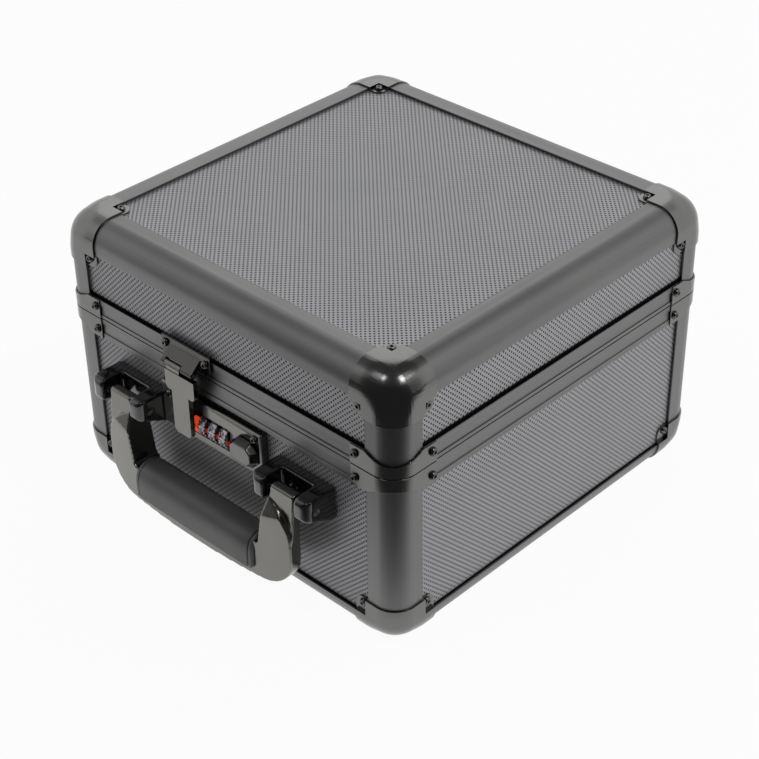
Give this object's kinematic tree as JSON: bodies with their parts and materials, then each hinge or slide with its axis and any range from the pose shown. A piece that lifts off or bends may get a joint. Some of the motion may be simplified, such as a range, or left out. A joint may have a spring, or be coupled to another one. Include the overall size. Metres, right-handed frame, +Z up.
{
  "type": "graded card case",
  "caption": "Square hard case for graded card slabs: hinged lid, extruded edges with ball corners, combination lock with hasp, drop handle and a two-row foam liner.",
  "frame": {"origin": "middle of the box around the case, on the floor under the feet", "axes": "+X to the right along the front, +Y from the front to the back, +Z up; the lock and the handle are on the -Y side"},
  "size_m": [0.2538, 0.2793, 0.1682],
  "materials": {
    "panel": "satin sheet with fine staggered pits",
    "extrusion": "black anodised, satin",
    "corner_steel": "pressed steel, glossy black",
    "rivet_steel": "bright dome head",
    "foot_rubber": "moulded",
    "foam": "cut closed-cell foam",
    "lock_metal": "satin grey",
    "dial_chrome": "polished",
    "bracket_plastic": "moulded, glossy",
    "housing_plastic": "moulded",
    "handle_metal": "gunmetal gloss",
    "grip_rubber": "ribbed, satin"
  },
  "bodies": {
    "base": {"base_back_edge": "extrusion", "base_back_panel": "panel", "base_back_rim": "extrusion", "base_ball_corners": "corner_steel", "base_bottom_panel": "panel", "base_foam": "foam", "base_front_edge": "extrusion", "base_front_panel": "panel", "base_front_rim": "extrusion", "base_hinge_leaves": "corner_steel", "base_left_edge": "extrusion", "base_left_panel": "panel", "base_left_rim": "extrusion", "base_posts": "extrusion", "base_right_edge": "extrusion", "base_right_panel": "panel", "base_right_rim": "extrusion", "base_rim_braces": "corner_steel", "base_rivets": "rivet_steel", "dial_axle": "rivet_steel", "feet": "foot_rubber", "handle_bracket_left": "bracket_plastic", "handle_bracket_right": "bracket_plastic", "handle_pins": "rivet_steel", "hinge_pins": "rivet_steel", "lock_housing": "housing_plastic", "lock_plate": "lock_metal"},
    "lid": {"hasp_pin": "rivet_steel", "hasp_plate": "lock_metal", "lid_back_edge": "extrusion", "lid_back_panel": "panel", "lid_back_rim": "extrusion", "lid_ball_corners": "corner_steel", "lid_foam": "foam", "lid_front_edge": "extrusion", "lid_front_panel": "panel", "lid_front_rim": "extrusion", "lid_hinge_leaves": "corner_steel", "lid_left_edge": "extrusion", "lid_left_panel": "panel", "lid_left_rim": "extrusion", "lid_posts": "extrusion", "lid_right_edge": "extrusion", "lid_right_panel": "panel", "lid_right_rim": "extrusion", "lid_rim_braces": "corner_steel", "lid_rivets": "rivet_steel", "lid_top_panel": "panel"},
    "hasp": {"hasp_leaf": "lock_metal"},
    "handle": {"handle_frame": "handle_metal", "grip_sleeve": "grip_rubber"},
    "dial_left": {"dial_1": "dial_chrome"},
    "dial_middle": {"dial_2": "dial_chrome"},
    "dial_right": {"dial_3": "dial_chrome"},
    "button": {"release_button": "lock_metal"}
  },
  "joints": [
    {"name": "lid_hinge", "type": "hinge", "parent": "base", "child": "lid", "pos_m": [0, 0.13725, 0.11065], "axis": [-1, 0, 0], "range_deg": [0, 95]},
    {"name": "hasp_hinge", "type": "hinge", "parent": "lid", "child": "hasp", "pos_m": [-0.024, -0.12155, 0.1142], "axis": [-1, 0, 0], "range_deg": [0, 100]},
    {"name": "handle_hinge", "type": "hinge", "parent": "base", "child": "handle", "pos_m": [-0.0016, -0.12735, 0.0785], "axis": [-1, 0, 0], "range_deg": [0, 90]},
    {"name": "dial_left_turn", "type": "hinge", "parent": "base", "child": "dial_left", "pos_m": [-0.0103, -0.11435, 0.081], "axis": [1, 0, 0], "continuous": true},
    {"name": "dial_middle_turn", "type": "hinge", "parent": "base", "child": "dial_middle", "pos_m": [-0.00225, -0.11435, 0.081], "axis": [1, 0, 0], "continuous": true},
    {"name": "dial_right_turn", "type": "hinge", "parent": "base", "child": "dial_right", "pos_m": [0.0058, -0.11435, 0.081], "axis": [1, 0, 0], "continuous": true},
    {"name": "button_slide", "type": "slide", "parent": "base", "child": "button", "axis": [1, 0, 0], "range_m": [0, 0.0025], "stiffness_N_per_m": 150}
  ]
}
